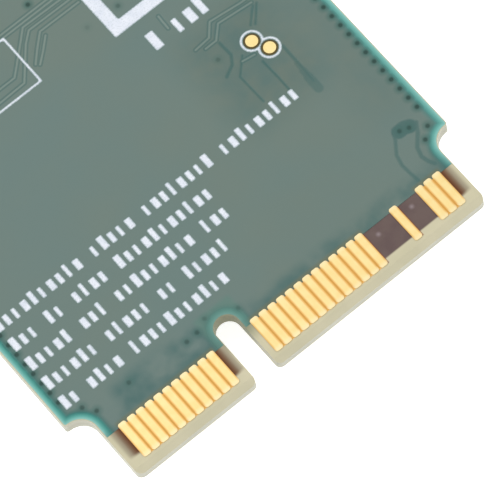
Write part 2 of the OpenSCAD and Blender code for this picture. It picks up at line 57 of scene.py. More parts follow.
# %% Sizes of the board
MM = 0.001
BOARD_W, BOARD_L = 22, 30
TONGUE_W, SHOULDER_Y = 19.85, 4
SHOULDER_FILLET, SHOULDER_CORNER, REAR_CORNER = 0.9, 0.15, 0.5
KEY_X, KEY_W, KEY_DEPTH = -2.625, 1.2, 3.5
PRINT_LEVEL, COMPONENT_LEVEL = 2.27, 1.53
MASK_T, MASK_PULLBACK, MASK_START = 0.03, 0.04, 2.35
SCREW_OPENING_R = 2.81
CONTACT_PITCH, CONTACT_W, CONTACT_START, CONTACT_END, CONTACT_CORNER = 0.5, 0.42, 0.5, 2.5, 0.12
PRINT_PINS = [pin for pin in range(2, 76, 2) if pin not in (24, 26, 28, 30, 58, 60, 62, 66, 68)]
COMPONENT_PINS = [pin for pin in range(1, 76, 2) if pin not in (25, 27, 29, 31, 59, 61, 65, 67, 71, 73)]


def pin_x(pin):
    return (pin - 38) * CONTACT_PITCH / 2


def in_frame(x, y, z):
    """A place on the drawing, in millimetres, as a place in the frame, in metres."""
    return x * MM, (y - BOARD_L / 2) * MM, z * MM


print("board:", BOARD_W, "x", BOARD_L, "mm, with", len(PRINT_PINS), "contacts on the print side")

# %% [markdown]
# ## The camera
# A long lens far away keeps the card's edges almost parallel, as in a product photograph. The camera looks
# at the lower two thirds of the card from above, turned so that the finger row runs up to the right. Its
# three axes are given as directions in the frame, which is exact and has no angles to mix up.

# %% Camera
PICTURE_W, FOCAL_PIXELS, SENSOR_MM = 488, 4957.97, 36
camera_right = Vector((0.7743, -0.6200, -0.1265))
camera_up = Vector((0.6127, 0.6848, 0.3945))
camera_back = Vector((-0.1580, -0.3830, 0.9101))
camera_data = bpy.data.cameras.new("camera")
camera_data.sensor_width = SENSOR_MM
camera_data.lens = SENSOR_MM * FOCAL_PIXELS / PICTURE_W
camera_data.clip_start = 0.01
camera = bpy.data.objects.new("camera", camera_data)
bpy.context.scene.collection.objects.link(camera)
turn = Matrix((camera_right, camera_up, camera_back)).transposed().to_quaternion()
camera.matrix_world = Matrix.LocRotScale(Vector(in_frame(-34.41, -79.08, 203.65)), turn, None)
bpy.context.scene.camera = camera
print("lens:", round(camera_data.lens, 1), "mm")

# %% [markdown]
# ## Floor and light
# The card lies on its shield lid on a white table. Light from all round, as in a light tent, gives the
# flat, clear look of a catalogue picture, and one large soft lamp from the far left puts a slight shine on
# the gold. The table itself glows a little, so that it stays white right up to the card.

# %% World and lamps
bpy.context.scene.view_settings.view_transform = "Standard"
world = bpy.data.worlds.new("light_tent")
world.use_nodes = True
world.node_tree.nodes["Background"].inputs["Color"].default_value = (1, 1, 1, 1)
world.node_tree.nodes["Background"].inputs["Strength"].default_value = 0.85
bpy.context.scene.world = world


def soft_lamp(name, place, width, power):
    """A square lamp that looks at the middle of the card."""
    lamp = bpy.data.lights.new(name, "AREA")
    lamp.size, lamp.energy = width, power
    made = bpy.data.objects.new(name, lamp)
    made.location = place
    made.rotation_euler = (-Vector(place)).to_track_quat("-Z", "Y").to_euler()
    bpy.context.scene.collection.objects.link(made)


soft_lamp("key_lamp", (-0.25, 0.30, 0.45), 0.35, 1.6)
soft_lamp("fill_lamp", (0.35, -0.25, 0.40), 0.40, 0.8)
print("lamps:", len(bpy.data.lights))

# %% [markdown]
# ## Nodes with names for their inputs
# A material is a tree of nodes. Two small helpers keep the trees short to write: one adds a node and sets
# or links its inputs by name, and the other makes a group, which is a tree that several materials share,
# each with its own values. Colours are written as they look on a screen, from 0 to 255, and are turned
# into the linear values that the renderer adds up.


# %% Helpers for node trees
def put(tree, kind, inputs=None, **settings):
    """Adds a node. An input given as a socket is linked, and any other value is set."""
    node = tree.nodes.new(kind)
    for name, value in settings.items():
        setattr(node, name, value)
    for name, value in (inputs or {}).items():
        if isinstance(value, bpy.types.NodeSocket):
            tree.links.new(value, node.inputs[name])
        else:
            node.inputs[name].default_value = value
    return node


def maths(tree, operation, first, second=0.0, clamp=False):
    return put(tree, "ShaderNodeMath", {0: first, 1: second}, operation=operation, use_clamp=clamp).outputs[0]


def mixed(tree, factor, first, second, way="MIX"):
    """One colour blended into another by a factor."""
    node = put(tree, "ShaderNodeMix", {0: factor, 6: first, 7: second}, data_type="RGBA", blend_type=way)
    return node.outputs[2]


def screen(red, green, blue):
    """A colour as seen on a screen, as the renderer's linear colour."""
    return tuple((c / 255 / 12.92 if c < 11 else ((c / 255 + 0.055) / 1.055) ** 2.4) for c in (red, green, blue)) + (1,)


def new_group(name, inputs, outputs):
    """A group's tree, its input node and its output node."""
    tree = bpy.data.node_groups.new(name, "ShaderNodeTree")
    for title, kind, value in inputs:
        tree.interface.new_socket(title, in_out="INPUT", socket_type=kind).default_value = value
    for title, kind in outputs:
        tree.interface.new_socket(title, in_out="OUTPUT", socket_type=kind)
    return tree, tree.nodes.new("NodeGroupInput"), tree.nodes.new("NodeGroupOutput")


def use_group(tree, group, **inputs):
    node = put(tree, "ShaderNodeGroup", node_tree=group)
    for title, value in inputs.items():
        title = title.replace("_", " ").capitalize()
        if isinstance(value, bpy.types.NodeSocket):
            tree.links.new(value, node.inputs[title])
        else:
            node.inputs[title].default_value = value
    return node.outputs


print("a mid grey of 128 is", round(screen(128, 128, 128)[0], 3), "in linear light")

# %% [markdown]
# ## Effects that materials share
# *Grain* is a fine noise with a size in millimetres. It can be stretched into brush lines or glass layers,
# and gives both a mask and a bump. *Patches* shifts a colour softly from place to place, because no real
# surface has one even colour. *Zone* is a soft-edged box, for colour that belongs to one place on the
# card, such as the bare board between two fingers.

# %% Group: grain
FLOAT, COLOUR, VECTOR = "NodeSocketFloat", "NodeSocketColor", "NodeSocketVector"
grain, start, end = new_group(
    "grain",
    [("Size", FLOAT, 0.1), ("Stretch", VECTOR, (1, 1, 1)), ("Detail", FLOAT, 3), ("Depth", FLOAT, 0.002)],
    [("Mask", FLOAT), ("Normal", VECTOR)],
)
place = put(grain, "ShaderNodeTexCoord").outputs["Object"]
place = put(grain, "ShaderNodeVectorMath", {0: place, 1: (1 / MM,) * 3}, operation="MULTIPLY").outputs[0]
place = put(grain, "ShaderNodeVectorMath", {0: place, 1: start.outputs["Stretch"]}, operation="DIVIDE").outputs[0]
often = maths(grain, "DIVIDE", 1.0, start.outputs["Size"])
noise = put(grain, "ShaderNodeTexNoise", {"Vector": place, "Scale": often, "Detail": start.outputs["Detail"]})
depth = maths(grain, "MULTIPLY", start.outputs["Depth"], MM)
bump = put(grain, "ShaderNodeBump", {"Height": noise.outputs["Fac"], "Distance": depth})
grain.links.new(noise.outputs["Fac"], end.inputs["Mask"])
grain.links.new(bump.outputs["Normal"], end.inputs["Normal"])
print("group:", grain.name)

# %% Group: patches
patches, start, end = new_group(
    "patches",
    [("Main", COLOUR, (1, 1, 1, 1)), ("Other", COLOUR, (1, 1, 1, 1)), ("Size", FLOAT, 2), ("Amount", FLOAT, 0.5)],
    [("Color", COLOUR)],
)
soft = use_group(patches, grain, size=start.outputs["Size"], detail=2.0)["Mask"]
soft = put(patches, "ShaderNodeMapRange", {"Value": soft, "From Min": 0.35, "From Max": 0.65}).outputs[0]
soft = maths(patches, "MULTIPLY", soft, start.outputs["Amount"])
patches.links.new(mixed(patches, soft, start.outputs["Main"], start.outputs["Other"]), end.inputs["Color"])
print("group:", patches.name)

# %% Group: zone
zone, start, end = new_group(
    "zone",
    [("Low", VECTOR, (0, 0, 0)), ("High", VECTOR, (1, 1, 1)), ("Soft", FLOAT, 0.05)],
    [("Mask", FLOAT)],
)
place = put(zone, "ShaderNodeTexCoord").outputs["Object"]
place = put(zone, "ShaderNodeVectorMath", {0: place, 1: (1 / MM,) * 3}, operation="MULTIPLY").outputs[0]
soft = put(zone, "ShaderNodeCombineXYZ", {axis: start.outputs["Soft"] for axis in "XYZ"}).outputs[0]
inside = None
for side, shown in (("Low", (0.0, 1.0)), ("High", (1.0, 0.0))):
    near = put(zone, "ShaderNodeVectorMath", {0: start.outputs[side], 1: soft}, operation="SUBTRACT").outputs[0]
    far = put(zone, "ShaderNodeVectorMath", {0: start.outputs[side], 1: soft}, operation="ADD").outputs[0]
    ramp = put(zone, "ShaderNodeMapRange", data_type="FLOAT_VECTOR", interpolation_type="SMOOTHSTEP")
    for socket, value in (("Vector", place), ("From_Min_FLOAT3", near), ("From_Max_FLOAT3", far)):
        zone.links.new(value, next(s for s in ramp.inputs if socket in (s.name, s.identifier)))
    for socket, value in (("To_Min_FLOAT3", shown[0]), ("To_Max_FLOAT3", shown[1])):
        next(s for s in ramp.inputs if s.identifier == socket).default_value = (value,) * 3
    step = ramp.outputs["Vector"]
    if inside is not None:
        step = put(zone, "ShaderNodeVectorMath", {0: inside, 1: step}, operation="MULTIPLY").outputs[0]
    inside = step
axes = put(zone, "ShaderNodeSeparateXYZ", {0: inside}).outputs
zone.links.new(maths(zone, "MULTIPLY", maths(zone, "MULTIPLY", axes[0], axes[1]), axes[2]), end.inputs["Mask"])
print("group:", zone.name)

# %% [markdown]
# ## A thin film as a height map with real vertices
# The green solder mask is a film of paint 0.03 mm thick that follows the copper under it. On the real card its surface
# drops a little where copper was etched away: along traces, round the board's edge, and into each via. A bump texture
# would leave the mesh itself flat, so the film is a mesh. The card's plan is cut into triangles along every line where
# the height changes, and each vertex then gets its height from one formula. The same function makes the film on both
# sides, and the white print.


# %% Points along arcs and lines
def arc(x, y, radius, first, last, steps=10):
    """Points on an arc round x, y, with its angles in degrees."""
    angles = np.radians(np.linspace(first, last, steps + 1))
    return [(x + radius * math.cos(a), y + radius * math.sin(a)) for a in angles]


def circle(x, y, radius, steps=20):
    return arc(x, y, radius, 0, 360 * (1 - 1 / steps), steps - 1)


def tips(pins, first_y, gap):
    """The line along first_y round the tips of these contacts, from left to right."""
    half, corner = CONTACT_W / 2 + gap, CONTACT_CORNER + gap
    line = []
    for x in map(pin_x, pins):
        line += [(x - half, first_y), *arc(x - half + corner, CONTACT_END + gap - corner, corner, 180, 90, 4)]
        line += [*arc(x + half - corner, CONTACT_END + gap - corner, corner, 90, 0, 4), (x + half, first_y)]
    return line


def board_loop(inset, first_y, opening_r, pins=(), gap=0):
    """The board's outline from first_y on, moved in by inset, counterclockwise. Where pins are given, the
    line runs round their tips, with this gap."""
    half_w, half_tongue, key_half = BOARD_W / 2 - inset, TONGUE_W / 2 - inset, KEY_W / 2 + inset
    shoulder, fillet = SHOULDER_Y + inset, SHOULDER_FILLET + inset
    corner, rear = max(SHOULDER_CORNER - inset, 0.001), max(REAR_CORNER - inset, 0.001)
    key_y = KEY_DEPTH - KEY_W / 2
    lift = math.degrees(math.asin(inset / opening_r))
    right = [(half_tongue, first_y)]
    right += arc(half_tongue + fillet, shoulder - fillet, fillet, 180, 90)
    right += arc(half_w - corner, shoulder + corner, corner, -90, 0, 4)
    right += arc(half_w - rear, BOARD_L - inset - rear, rear, 0, 90, 6)
    left = [(-x, y) for x, y in reversed(right)]
    notch = arc(0, BOARD_L, opening_r, -lift, lift - 180, 32)
    key = [(KEY_X - key_half, first_y), *arc(KEY_X, key_y, key_half, 180, 0, 14), (KEY_X + key_half, first_y)]
    before = tips([pin for pin in pins if pin_x(pin) < KEY_X], first_y, gap)
    after = tips([pin for pin in pins if pin_x(pin) > KEY_X], first_y, gap)
    return before + key + after + right + notch + left


print("outline:", len(board_loop(MASK_PULLBACK, MASK_START, SCREW_OPENING_R)), "points")


# %% Distances on the plan
def segments(lines, closed=True):
    """The start and end points of every segment of some lines."""
    ends = [(np.array(p), np.roll(np.array(p), -1, axis=0)) for p in lines]
    if not closed:
        ends = [(a[:-1], b[:-1]) for a, b in ends]
    return np.concatenate([a for a, b in ends]), np.concatenate([b for a, b in ends])


def distance(points, starts, ends):
    """How far each point is from the nearest of the segments."""
    nearest = np.full(len(points), 1e9)
    for a, b in zip(starts, ends):
        along = b - a
        part = np.clip(((points - a) @ along) / max(along @ along, 1e-12), 0, 1)
        nearest = np.minimum(nearest, np.hypot(*(points - a - part[:, None] * along).T))
    return nearest


def inside(points, starts, ends):
    """True where a point is inside the closed lines, counting crossings to its right."""
    count = np.zeros(len(points), int)
    for (ax, ay), (bx, by) in zip(starts, ends):
        if ay != by:
            crosses = (ay > points[:, 1]) != (by > points[:, 1])
            count += crosses & (points[:, 0] < ax + (points[:, 1] - ay) * (bx - ax) / (by - ay))
    return count % 2 == 1


def ease(value):
    """0 below 0, 1 above 1, and a soft S between."""
    t = np.clip(value, 0, 1)
    return t * t * (3 - 2 * t)


print("halfway up an S:", float(ease(np.array(0.5))))


# %% The film maker
def film(name, level, up, borders, lines, height, masks):
    """A closed thin film. Borders bound it, lines get vertices, height(points) gives its thickness, and
    masks(points) gives named values that its material reads. up is 1 on the print side and -1 below."""
    points, edges = [], []
    for line, closed in [(b, True) for b in borders] + lines:
        first = len(points)
        points += [Vector(p) for p in line]
        edges += [(first + i, first + i + 1) for i in range(len(line) - 1)]
        if closed:
            edges.append((len(points) - 1, first))
    flat, _, faces, *_ = delaunay_2d_cdt(points, edges, [], 0, 1e-5, False)
    flat = np.array([tuple(p) for p in flat])
    faces = np.array([f if up > 0 else f[::-1] for f in faces])
    starts, ends = segments(borders)
    faces = faces[inside(flat[faces].mean(axis=1), starts, ends)]
    used, faces = np.unique(faces, return_inverse=True)
    flat, faces = flat[used], faces.reshape(-1, 3)
    tops, count = height(flat), len(flat)
    once = {}
    for a, b, c in faces:
        for pair in ((a, b), (b, c), (c, a)):
            once[pair] = once.get(pair[::-1], 0) == 0
            if not once[pair]:
                once[pair[::-1]] = False
    rim = [pair for pair, alone in once.items() if alone and pair[::-1] not in once]
    places = [in_frame(x, y, level + up * h) for (x, y), h in zip(flat, tops)]
    places += [in_frame(x, y, level) for x, y in flat]
    polygons = [tuple(map(int, f)) for f in faces] + [tuple(int(v) + count for v in f[::-1]) for f in faces]
    polygons += [(int(b), int(a), int(a) + count, int(b) + count) for a, b in rim]
    mesh = bpy.data.meshes.new(name)
    mesh.from_pydata(places, [], polygons)
    nudge = 0.002
    slope_x = (height(flat + (nudge, 0)) - height(flat - (nudge, 0))) / (2 * nudge)
    slope_y = (height(flat + (0, nudge)) - height(flat - (0, nudge))) / (2 * nudge)
    normals = np.stack([-slope_x, -slope_y, np.ones(count)], axis=1) * (1, 1, up)
    normals /= np.linalg.norm(normals, axis=1)[:, None]
    corner_normals = [tuple(normals[v]) for f in faces for v in f]
    corner_normals += [tuple(p.normal) for p in list(mesh.polygons)[len(faces):] for _ in p.vertices]
    mesh.polygons.foreach_set("use_smooth", [True] * len(mesh.polygons))
    mesh.normals_split_custom_set(corner_normals)
    for title, values in masks(flat).items():
        layer = mesh.attributes.new(title, "FLOAT", "POINT")
        layer.data.foreach_set("value", np.concatenate([values, values]).astype(np.float32))
    piece = bpy.data.objects.new(name, mesh)
    bpy.context.scene.collection.objects.link(piece)
    print(name, len(mesh.polygons), "faces")
    return piece


# %% [markdown]
# ## The green film on the print side
# Under most of the film lies one sheet of copper. It stops a third of a millimetre from the board's edge,
# and it is cut away beside each trace. Over copper the paint looks grey-green. Where the copper is gone,
# it lies 0.012 mm lower and looks teal, brightest at the very edge, where light comes in from the side.

# %% Traces and vias of the print side
COPPER_STEP, COPPER_INSET, STEP_W = 0.012, 0.36, 0.03
VIA_R, VIA_DEPTH, VIA_PITCH, VIA_X, VIA_START, VIA_SHIFT = 0.15, 0.015, 0.61, 10.5, 5.1, 0.45
TRACE_W, TRACE_GAP, FILLED_GAP, GROOVE_SOFT = 0.1, 0.08, 0.6, 0.1
TEST_PADS, TEST_OPENING_R = ((6.99, 13.14), (7.4, 12.34)), 0.4
print_traces = [
    [(-3.6, 21.16), (2.3, 21.16)],
    [(-3.2, 20.97), (2.3, 20.97)],
    [(2.3, 20.72), (-0.42, 20.78), (-1.04, 20.17), (-2.26, 19.01), (-3.6, 19.01)],
    [(2.3, 20.44), (-0.3, 20.48), (-0.84, 20.0), (-2.08, 18.5), (-3.7, 18.45)],
    [(2.3, 20.06), (0.05, 20.08), (-0.6, 19.45), (-1.12, 18.89)],
    [(0.12, 19.75), (-0.45, 19.2), (-0.97, 18.75)],
    [(8.12, 14.98), (7.75, 15.0), (6.17, 15.2), (5.64, 14.58), (4.8, 14.51)],
    [(8.2, 14.68), (7.8, 14.72), (6.4, 14.87), (5.8, 14.25), (5.18, 14.25)],
    [(4.59, 17.0), (4.55, 16.22)],
    [(6.67, 12.52), (6.04, 12.63)],
]
print_grooves = [
    (0.17, 0.8, [(8.97, 5.4), (8.72, 4.91), (8.3, 4.31), (8.17, 3.75), (8.2, 3.22), (8.26, 2.7)]),
    (0.2, 0.8, [(9.99, 4.99), (9.69, 4.5), (9.24, 3.99), (9.1, 3.51), (9.19, 3.13), (9.35, 2.85)]),
    (0.7, 1, [(9.1, 5.14), (9.4, 5.14), (9.65, 5.03)]),
    (0.12, 0.9, [(8.17, 14.5), (7.99, 14.35), (7.46, 13.8)]),
    (0.12, 0.9, [(8.37, 14.5), (8.02, 14.09), (7.66, 13.7)]),
    (0.16, 0.9, [(5.84, 14.05), (5.87, 13.24), (5.6, 12.81), (5.03, 12.5)]),
    (0.12, 0.9, [(6.22, 12.85), (5.48, 12.09), (5.51, 10.43)]),
    (0.12, 1, [(6.74, 12.0), (6.76, 10.86), (6.74, 9.54)]),
    (0.16, 0.85, [(7.9, 12.0), (7.88, 10.61), (7.84, 9.7)]),
    (0.26, 0.6, [(7.85, 10.9), (7.82, 9.4)]),
    (0.36, 0.6, [(7.82, 10.4), (7.8, 9.3)]),
    (0.46, 0.6, [(7.8, 10.0), (7.79, 9.25)]),
]
column_count = int((BOARD_L - VIA_START - VIA_SHIFT - 0.5) / VIA_PITCH) + 1
column_vias = [
    (side * VIA_X, VIA_START + max(side, 0) * VIA_SHIFT + i * VIA_PITCH, 1)
    for side in (-1, 1) for i in range(column_count)
]  # fmt: skip
print_vias = column_vias + [
    (10.26, 4.5, 0.9), (9.75, 4.05, 0.9), (9.15, 5.15, 0.7), (9.58, 4.99, 0.7), (-9.85, 4.2, 0.8), (-9.45, 3.65, 0.8),
    (-7.55, 3.75, 0.6), (KEY_X - 1.78, 3.55, 0.7), (KEY_X - 1.16, 3.6, 0.7), (KEY_X - 0.5, 3.9, 0.4),
    (KEY_X + 0.95, 3.3, 0.4), (0.47, 21.54, 1), (1.8, 18.77, 0.2), (3.53, 18.68, 0.5), (5.26, 13.44, 0.4),
]  # fmt: skip
notch_vias = [(x, y, 0.8) for x, y in arc(0, BOARD_L, 3.4, 190, 350, 8)]
print("traces:", len(print_traces), "vias:", len(print_vias))


# %% Lines beside a trace, and round a via
def beside(line, offset):
    """A closed line round a trace at this distance from its middle."""
    path = np.array(line, float)
    run = np.diff(path, axis=0)
    run /= np.linalg.norm(run, axis=1)[:, None]
    angles = np.degrees(np.arctan2(run[:, 1], run[:, 0]))
    loop = []
    for way, order in ((1, range(len(run))), (-1, range(len(run) - 1, -1, -1))):
        for i in order:
            side = offset * way * np.array([run[i, 1], -run[i, 0]])
            loop += [tuple(path[i] + side), tuple(path[i + 1] + side)][::way]
        tip, turned = (path[-1], angles[-1] - 90) if way > 0 else (path[0], angles[0] + 90)
        loop += arc(*tip, offset, turned, turned + 180, 8)[1:-1]
    return loop


def film_lines(plan):
    """Every line on the plan where the film's height changes."""
    lines = []
    half = STEP_W / 2
    for rounding in (0.02, 0.045):
        around = board_loop(
            MASK_PULLBACK + rounding, MASK_START + rounding, SCREW_OPENING_R + rounding, plan["pins"], rounding
        )
        lines.append((around, True))
        lines += [(circle(x, y, r + rounding), True) for x, y, r in plan["openings"]]
    for inset in (0.12, 0.2, 0.28, COPPER_INSET - half, COPPER_INSET, COPPER_INSET + half, 0.55):
        lines.append((board_loop(inset, MASK_START, SCREW_OPENING_R), True))
    for line in plan["traces"]:
        for edge in (TRACE_W / 2, TRACE_W / 2 + TRACE_GAP):
            lines += [(beside(line, edge + shift), True) for shift in (-half, 0, half)]
    for width, _, line in plan["grooves"]:
        soft = min(GROOVE_SOFT, 0.8 * width) / 2
        lines += [(beside(line, width / 2 + shift), True) for shift in (-soft, 0, soft)]
    for x, y, _ in plan["vias"]:
        lines += [(circle(x, y, VIA_R * part, 16), True) for part in (2.4, 1.6, 1, 0.72, 0.45)]
    return lines


print("one trace loop has", len(beside(print_traces[4], 0.1)), "points")

# %% Copper, edge and via masks of a film
edge_starts, edge_ends = segments([board_loop(0, -3, SCREW_OPENING_R)])
on_edge = np.hypot(*((edge_starts + edge_ends) / 2 - (0, BOARD_L)).T) > SCREW_OPENING_R + 0.01
edge_starts, edge_ends = edge_starts[on_edge], edge_ends[on_edge]


def near_line(points, line, reach, soft=STEP_W):
    """1 on an open line, and half of that at this reach from its middle."""
    return ease((reach - distance(points, *segments([line], False))) / soft + 0.5)


def film_masks(points, plan):
    """How far each point is over copper, on a trace, from the board's edge and inside a via."""
    edge = distance(points, edge_starts, edge_ends)
    trace, band, via, halo = (np.zeros(len(points)) for _ in range(4))
    for line in plan["traces"]:
        trace = np.maximum(trace, near_line(points, line, TRACE_W / 2))
        band = np.maximum(band, FILLED_GAP * near_line(points, line, TRACE_W / 2 + TRACE_GAP))
    for width, depth, line in plan["grooves"]:
        band = np.maximum(band, depth * near_line(points, line, width / 2, min(GROOVE_SOFT, 0.8 * width)))
    for x, y, depth in plan["vias"]:
        apart = np.hypot(*(points - (x, y)).T)
        via = np.maximum(via, depth * ease((VIA_R - apart) / (0.55 * VIA_R)))
        halo = np.maximum(halo, depth * ease((2.4 * VIA_R - apart) / (1.6 * VIA_R)))
    pour = ease((edge - COPPER_INSET) / STEP_W + 0.5)
    return {"copper": np.maximum(trace, pour * (1 - band)), "trace": trace, "edge": edge, "via": via, "halo": halo}


def film_height(points, plan):
    """The film's thickness: rounded off at its borders, lower off the copper and in the vias."""
    found = film_masks(points, plan)
    full = MASK_T - COPPER_STEP * (1 - found["copper"]) - (VIA_DEPTH - 0.003) * found["via"]
    border = distance(points, *segments(plan["borders"]))
    return np.maximum(full, 0.012) * (0.4 + 0.6 * np.sqrt(np.clip(border / 0.045, 0, 1)))


def green_film(name, level, up, plan):
    """One side's film, with its masks for the material."""
    return film(
        name, level, up, plan["borders"], film_lines(plan),
        lambda points: film_height(points, plan), lambda points: film_masks(points, plan),
    )  # fmt: skip


print("edge lines:", len(edge_starts))

# %% Print-side film
pad_openings = [(x, y, TEST_OPENING_R) for x, y in TEST_PADS]
print_plan = {
    "traces": print_traces,
    "grooves": print_grooves,
    "vias": print_vias + notch_vias,
    "pins": PRINT_PINS,
    "openings": pad_openings,
    "borders": [board_loop(MASK_PULLBACK, MASK_START, SCREW_OPENING_R, PRINT_PINS)]
    + [circle(*opening) for opening in pad_openings],
}
print_film = green_film("print_side_film", PRINT_LEVEL, 1, print_plan)
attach(print_film, "root")
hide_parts("print_side_mask")

# %% [markdown]
# ## The film on the component side
# The lower side is painted in the same way. Here the film also stops at the tinned ring that the shield is
# soldered to. Two wide traces lead from the shield to the antenna connectors, with a fence of vias beside
# them, which keeps the radio signal in.

# %% Component-side film
SHIELD_X, SHIELD_NEAR, SHIELD_FAR, SHIELD_CORNER = 10.1, 4.7, 22.7, 0.5
LAND_OUTSIDE, LAND_W, ANTENNA_X, ANTENNA_Y = 0.15, 0.6, 8.3, 27.1


def round_box(x_low, y_low, x_high, y_high, radius, steps=5):
    """A box with round corners, counterclockwise."""
    loop = []
    for x, y, first in ((x_high, y_low, -90), (x_high, y_high, 0), (x_low, y_high, 90), (x_low, y_low, 180)):
        mid_x = x - radius if x == x_high else x + radius
        mid_y = y - radius if y == y_high else y + radius
        loop += arc(mid_x, mid_y, radius, first, first + 90, steps)
    return loop


def land_loop(margin, radius):
    """The shield's outline on the board, moved out by a margin."""
    x = SHIELD_X + margin
    return round_box(-x, SHIELD_NEAR - margin, x, SHIELD_FAR + margin, radius)


fence = [(side * (ANTENNA_X + shift), y, 1) for side in (-1, 1) for shift in (-0.55, 0.55) for y in (23.2, 23.8, 24.4)]
middle_vias = [(x, y, 1) for x in (-4.8, -1.6, 1.6, 4.8) for y in (23.4, 26.2) if abs(x) > 3 or y < 25]
component_plan = {
    "traces": [[(side * ANTENNA_X, 22.95), (side * ANTENNA_X, 25.6)] for side in (-1, 1)]
    + [[(side * 5.6, 23.1), (side * 5.2, 23.6), (side * 5.2, 25.8), (side * 4.6, 26.6)] for side in (-1, 1)],
    "grooves": [(0.14, 0.8, [(-3.8, 23.6), (-3.2, 24.2), (3.2, 24.2), (3.8, 23.6)])],
    "vias": column_vias[-8:-3] + [(-x, y, depth) for x, y, depth in column_vias[-8:-3]] + fence + middle_vias
    + notch_vias,
    "pins": COMPONENT_PINS,
    "openings": [],
    "borders": [
        board_loop(MASK_PULLBACK, MASK_START, SCREW_OPENING_R, COMPONENT_PINS),
        land_loop(LAND_OUTSIDE, SHIELD_CORNER + LAND_OUTSIDE),
        land_loop(LAND_OUTSIDE - LAND_W, 0.02),
    ],
}
component_film = green_film("component_side_film", COMPONENT_LEVEL, -1, component_plan)
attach(component_film, "root")
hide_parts("component_side_mask")

# %% [markdown]
# ## The white print
# The print is ink pushed through a screen, about 0.02 mm thick, so its edges are soft and its corners
# round. A thick frame, a thin box, a double ring round the test pads and rows of plain blocks stand where
# the card's own print is. The film maker fits here too, with one mask: how much ink there is, which falls
# off at each edge, so that the green shows through a little.

# %% Layout of the print
PRINT_T, INK_FADE, CORNER_R, BLOCK_PITCH, BLOCK_H = 0.02, 0.08, 0.08, 0.5, 0.76
row_words = ((2, 4, 11), (6, 5, 2, 5), (5, 3, 9, 3), (3, 2, 4, 11), (10, 5, 8, 9))
ROW_X, ROW_Y, ROW_PITCH, RING_R, RING_LINE = -10.45, 4.55, 1.23, 0.57, 0.15


def block_row(words, x, y, scale=1.0):
    """Plain blocks in groups, with a blank between the groups."""
    loops, place = [], 0
    for word in words:
        for _ in range(word):
            width = (BLOCK_PITCH - 0.14 - 0.06 * ((place * 7) % 3)) * scale
            height = BLOCK_H * (1 if (place * 5) % 4 == 0 else 0.8) * scale
            left = x + place * BLOCK_PITCH * scale
            loops.append((left, y, left + width, y + height))
            place += 1
        place += 1
    return loops


def ring_pair(radius):
    """The outline of two circles that overlap, one round each test pad."""
    (ax, ay), (bx, by) = TEST_PADS
    turn = math.degrees(math.atan2(by - ay, bx - ax))
    half = math.degrees(math.acos(math.hypot(bx - ax, by - ay) / 2 / radius))
    first = arc(ax, ay, radius, turn + half, turn + 360 - half, 24)
    return first + arc(bx, by, radius, turn + 180 + half, turn + 540 - half, 24)


boxes = [(2.44, 17.45, 9.44, 24.45), (3.14, 18.15, 8.74, 23.75), (-7.37, 18, -1.37, 21), (-7.22, 18.15, -1.52, 20.85)]
hole = (False, True, False, True) + (False,) * 200
for row, words in enumerate(row_words):
    boxes += block_row(words, ROW_X, ROW_Y + row * ROW_PITCH)
boxes += block_row((1, 3), 3.45, 15.65, 1.35)
print("boxes in the print:", len(boxes))

# %% The print
print_borders = [round_box(*box, CORNER_R) for box in boxes] + [ring_pair(RING_R)]
print_borders += [circle(x, y, RING_R - RING_LINE, 28) for x, y in TEST_PADS]
print_lines = []
for fade in (INK_FADE / 2, INK_FADE):
    for box, is_hole in zip(boxes, hole):
        move = -fade if is_hole else fade
        low_x, low_y, high_x, high_y = box
        inner = (low_x + move, low_y + move, high_x - move, high_y - move)
        print_lines.append((round_box(*inner, max(CORNER_R - move, 0.005)), True))
    print_lines.append((ring_pair(RING_R - fade), True))
    print_lines += [(circle(x, y, RING_R - RING_LINE + fade, 28), True) for x, y in TEST_PADS]


def ink(points):
    return ease(distance(points, *segments(print_borders)) / INK_FADE)


white_print = film(
    "white_print_film", PRINT_LEVEL + MASK_T, 1, print_borders, print_lines,
    lambda points: PRINT_T * (0.25 + 0.75 * ink(points)), lambda points: {"ink": ink(points)},
)  # fmt: skip
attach(white_print, "root")
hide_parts("silkscreen_print")

# %% [markdown]
# ## Green paint over copper
# One Principled shader makes the whole film, and the masks that the mesh carries decide its colour. Over copper it is a
# quiet grey-green with soft brownish patches. Towards the edge it runs through dark teal to a pale mint line, which is
# a painted highlight where light comes into the film's edge from the side. Vias are dark dots with a teal halo, and
# traces are a shade lighter than the sheet.

# %% Material: solder mask
EDGE_COLOURS = (
    (0.04, (146, 186, 180)), (0.1, (124, 176, 168)), (0.18, (102, 160, 152)),
    (0.3, (82, 134, 128)), (0.42, (82, 114, 110)), (0.65, (102, 122, 117)),
)  # fmt: skip


def new_material(name):
    """A material's tree and its Principled shader."""
    made = bpy.data.materials.new(name)
    made.use_nodes = True
    return made, made.node_tree, made.node_tree.nodes["Principled BSDF"]


def attribute(tree, name):
    return put(tree, "ShaderNodeAttribute", attribute_name=name).outputs["Fac"]


def seen(red, green, blue, shine=0.055):
    """The colour to give a painted surface that should look like this: the shine that soft light adds
    everywhere is taken off first."""
    return tuple(max(c - shine, 0.004) for c in screen(red, green, blue)[:3]) + (1,)


def scaled(tree, value, factor):
    return maths(tree, "MULTIPLY", value, factor, clamp=True)


